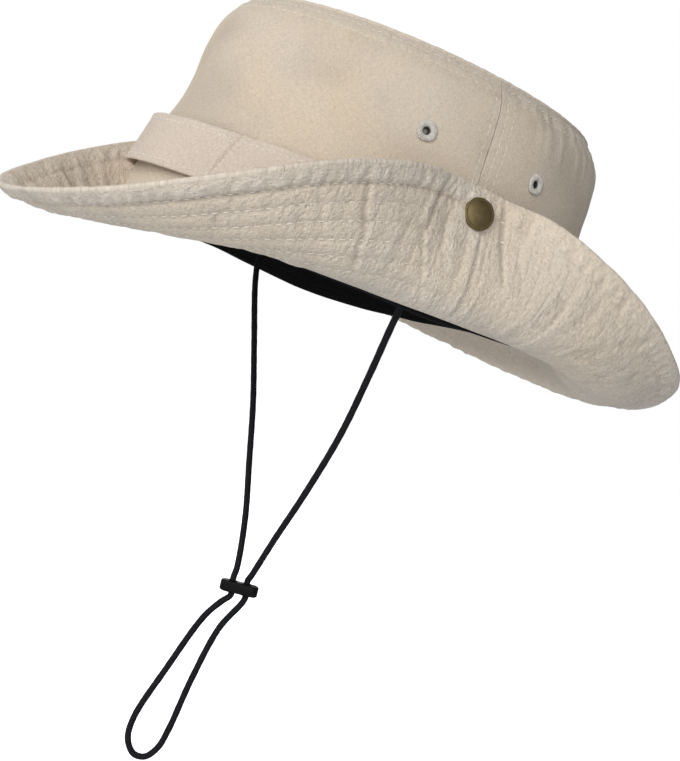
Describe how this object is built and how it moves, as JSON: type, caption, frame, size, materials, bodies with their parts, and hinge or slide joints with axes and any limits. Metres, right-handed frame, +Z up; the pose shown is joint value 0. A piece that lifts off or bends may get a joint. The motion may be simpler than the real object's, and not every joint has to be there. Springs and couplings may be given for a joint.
{
  "type": "safari hat",
  "caption": "Soft wide-brimmed cloth hat with both brim sides snapped up to the crown, a looped band, eyelets and a hanging chin cord with a toggle.",
  "frame": {"origin": "centre of the head opening, at the level where the brim and the crown are sewn together: where the hat sits on a head", "axes": "+Z up along the crown, -Y towards the front of the hat, +X towards the wearer's left"},
  "size_m": [0.2156, 0.3242, 0.336],
  "materials": {
    "canvas": "washed beige cotton canvas, matt",
    "quilted_canvas": "washed beige cotton, stitched in rows and puckered",
    "band_cloth": "washed beige cotton, edge-stitched",
    "black_tape": "black woven tape",
    "embroidery": "pale grey thread, closely worked",
    "aged_brass": "antique, satin",
    "black_braid": "round black braided cord",
    "black_plastic": "moulded black plastic"
  },
  "bodies": {
    "root": {"crown_front": "canvas", "crown_back": "canvas", "crown_tip": "canvas", "brim": "quilted_canvas", "hat_band": "band_cloth", "sweatband": "black_tape", "eyelet_left_front": "embroidery", "eyelet_left_rear": "embroidery", "eyelet_right_front": "embroidery", "eyelet_right_rear": "embroidery", "snap_left": "aged_brass", "snap_right": "aged_brass", "chin_cord": "black_braid", "cord_toggle": "black_plastic"}
  },
  "joints": []
}
